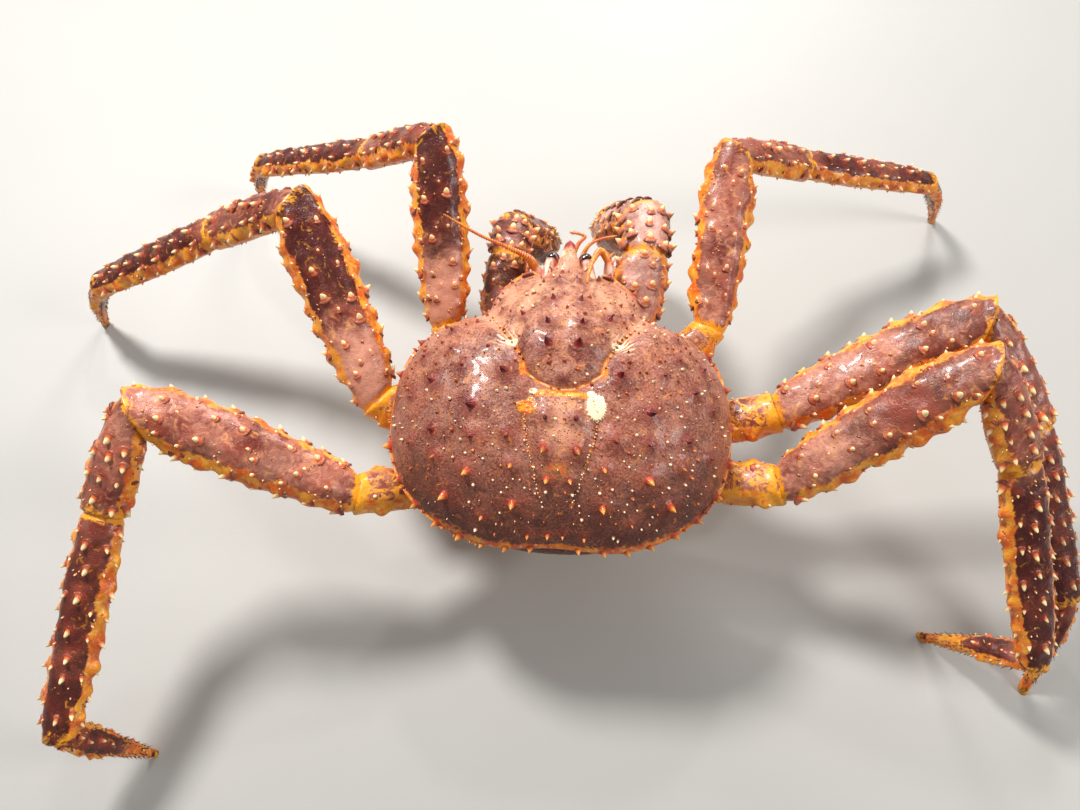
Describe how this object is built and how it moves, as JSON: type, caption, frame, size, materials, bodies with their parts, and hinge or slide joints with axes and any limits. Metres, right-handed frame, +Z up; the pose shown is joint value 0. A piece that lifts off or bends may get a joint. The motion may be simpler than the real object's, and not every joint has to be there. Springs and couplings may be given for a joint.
{
  "type": "red king crab",
  "caption": "Life-size red king crab standing on its walking legs: spiny rounded carapace, long spiny jointed legs, unequal claws, folded abdomen.",
  "frame": {"origin": "centre of the model's bounding box, on the floor that the feet stand on", "axes": "+Y towards the head, +X the crab's right, +Z up"},
  "size_m": [0.602, 0.3978, 0.1738],
  "materials": {
    "carapace": "wet mauve-brown shell with fine dark speckles, peach towards the head and in the grooves, red and yellow spine tips",
    "leg": "wet purple-brown shell with orange edges and cream spine tips, darker towards the foot",
    "claw": "wet pinkish brown shell with yellow and orange knobs",
    "joint": "wet yellow-orange shell and joint skin",
    "underside": "cream and yellow-orange shell with a satin wet sheen",
    "feeler": "orange, thin horny skin",
    "eye": "glossy dark red-black"
  },
  "bodies": {
    "root": {"abdomen": "underside", "antenna_left": "feeler", "antenna_right": "feeler", "antennule_left": "feeler", "antennule_right": "feeler", "carapace": "carapace", "claw_left_carpus": "claw", "claw_left_finger": "claw", "claw_left_ischium": "joint", "claw_left_merus": "claw", "claw_left_palm": "claw", "claw_right_carpus": "claw", "claw_right_finger": "claw", "claw_right_ischium": "joint", "claw_right_merus": "claw", "claw_right_palm": "claw", "eye_left": "eye", "eye_right": "eye", "eyestalk_left": "feeler", "eyestalk_right": "feeler", "leg_left_2_ischium": "joint", "leg_left_2_merus": "leg", "leg_left_2_carpus": "leg", "leg_left_2_propodus": "leg", "leg_left_2_dactylus": "leg", "leg_left_3_ischium": "joint", "leg_left_3_merus": "leg", "leg_left_3_carpus": "leg", "leg_left_3_propodus": "leg", "leg_left_3_dactylus": "leg", "leg_left_4_ischium": "joint", "leg_left_4_merus": "leg", "leg_left_4_carpus": "leg", "leg_left_4_propodus": "leg", "leg_left_4_dactylus": "leg", "leg_right_2_ischium": "joint", "leg_right_2_merus": "leg", "leg_right_2_carpus": "leg", "leg_right_2_propodus": "leg", "leg_right_2_dactylus": "leg", "leg_right_3_ischium": "joint", "leg_right_3_merus": "leg", "leg_right_3_carpus": "leg", "leg_right_3_propodus": "leg", "leg_right_3_dactylus": "leg", "leg_right_4_ischium": "joint", "leg_right_4_merus": "leg", "leg_right_4_carpus": "leg", "leg_right_4_propodus": "leg", "leg_right_4_dactylus": "leg", "maxilliped_left": "claw", "maxilliped_right": "claw", "thorax": "underside"}
  },
  "joints": []
}
